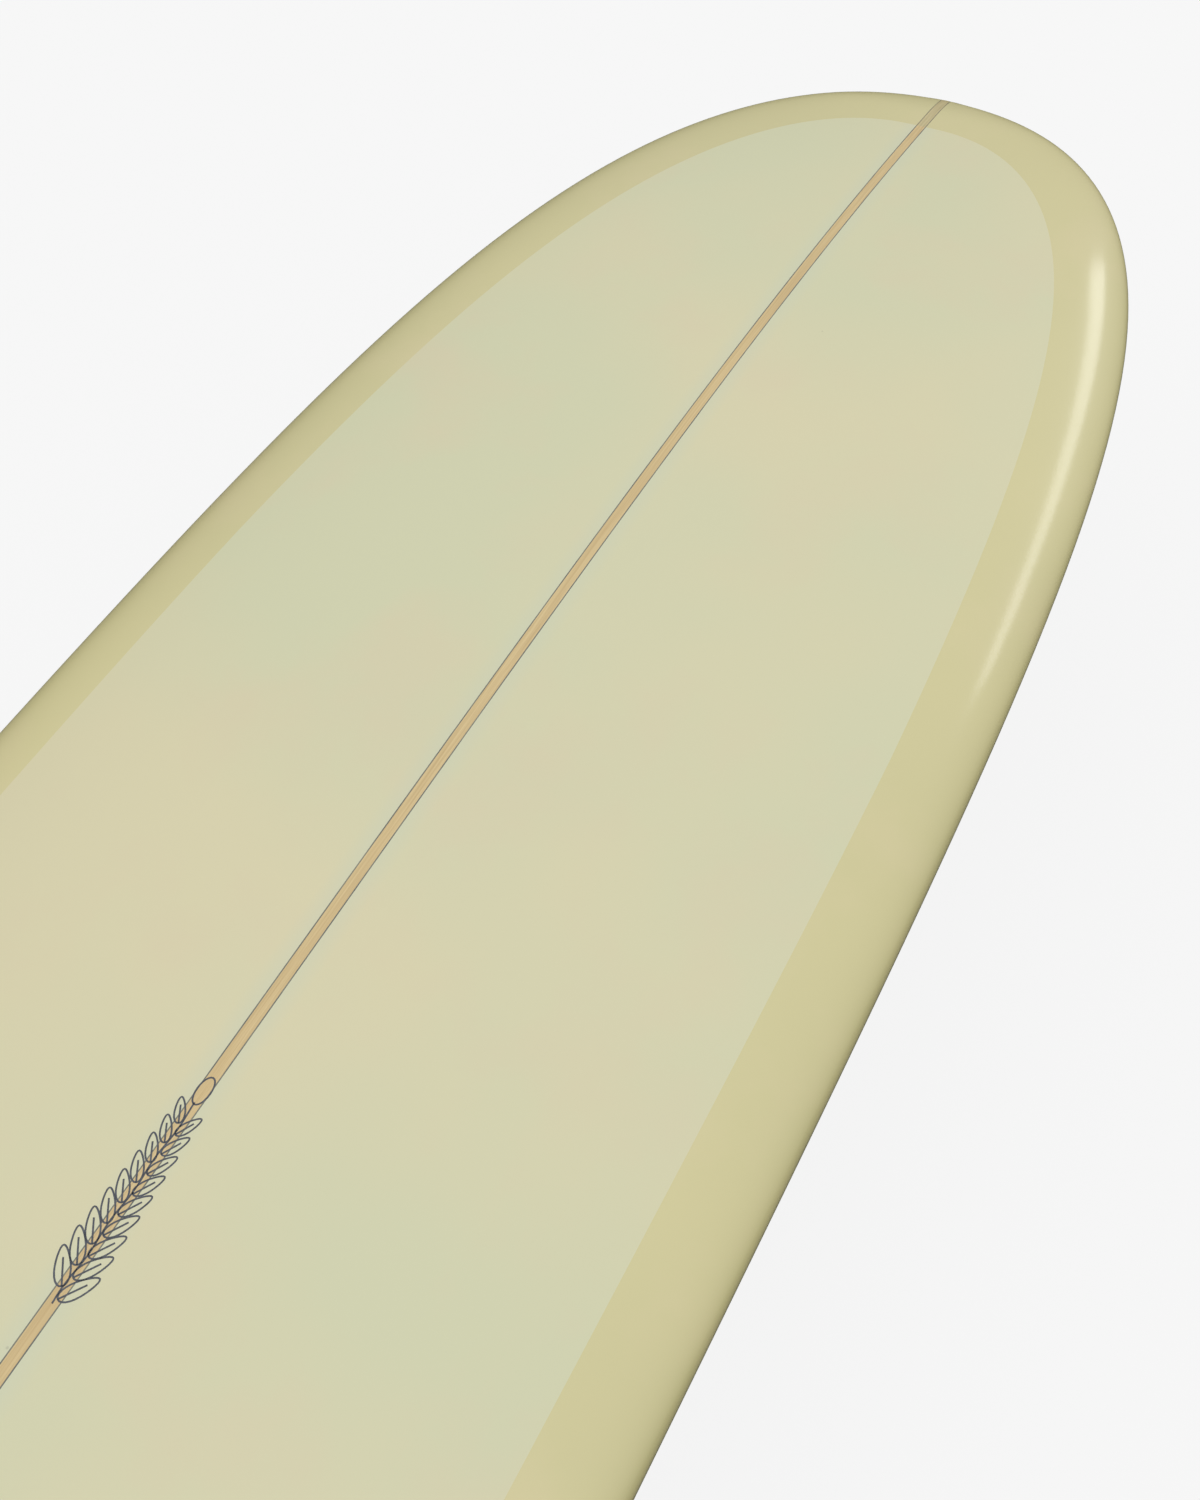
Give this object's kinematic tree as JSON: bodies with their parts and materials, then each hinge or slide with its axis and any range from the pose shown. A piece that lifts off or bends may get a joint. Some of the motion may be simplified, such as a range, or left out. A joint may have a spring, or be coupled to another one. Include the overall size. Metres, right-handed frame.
{
  "type": "longboard surfboard",
  "caption": "Rounded-nose longboard surfboard with a wooden stringer, tinted rails lapped onto the deck, a boxed centre fin and a leash plug.",
  "frame": {"origin": "middle of the board's length, on the stringer, level with the fin's tip", "axes": "+X to the nose, +Y to the left rail, +Z out of the deck"},
  "size_m": [2.896, 0.584, 0.3169],
  "materials": {
    "foam": "matte",
    "stringer_wood": "satin",
    "glue": "matte",
    "tinted_glass": "gloss",
    "clear_glass": "gloss",
    "gloss_coat": "gloss",
    "emblem_paper": "gloss",
    "box_plastic": "satin",
    "resin": "gloss",
    "fin_glass": "gloss",
    "stainless_steel": "polished",
    "plate_brass": "satin",
    "plug_plastic": "satin"
  },
  "bodies": {
    "board": {"foam_blank_left": "foam", "foam_blank_right": "foam", "stringer": "stringer_wood", "glue_line_left": "glue", "glue_line_right": "glue", "deck_patch": "clear_glass", "bottom_lamination": "tinted_glass", "deck_lamination": "clear_glass", "bottom_gloss_coat": "gloss_coat", "fin_box_patch": "clear_glass", "deck_emblem": "emblem_paper", "fin_box": "box_plastic", "fin_box_resin_bed": "resin", "leash_plug_cup": "plug_plastic", "leash_plug_bar": "stainless_steel", "leash_plug_resin_bed": "resin"},
    "fin": {"fin": "fin_glass", "fin_pin": "stainless_steel"},
    "screw": {"fin_screw": "stainless_steel"},
    "plate": {"fin_plate": "plate_brass"}
  },
  "joints": [
    {"name": "fin_slide", "type": "slide", "parent": "board", "child": "fin", "axis": [0.9969, 0, -0.0788], "range_m": [-0.025, 0.025]},
    {"name": "screw_turn", "type": "hinge", "parent": "fin", "child": "screw", "pos_m": [-1.07096, 0, 0.23205], "axis": [-0.0788, 0, -0.9969], "range_deg": [0, 720]},
    {"name": "plate_lift", "type": "slide", "parent": "fin", "child": "plate", "axis": [0.0788, 0, 0.9969], "range_m": [0, 0.00159]}
  ],
  "couplings": [
    {"joint": "screw_turn", "follows": "plate_lift", "rad_per_m": 7915.8}
  ]
}
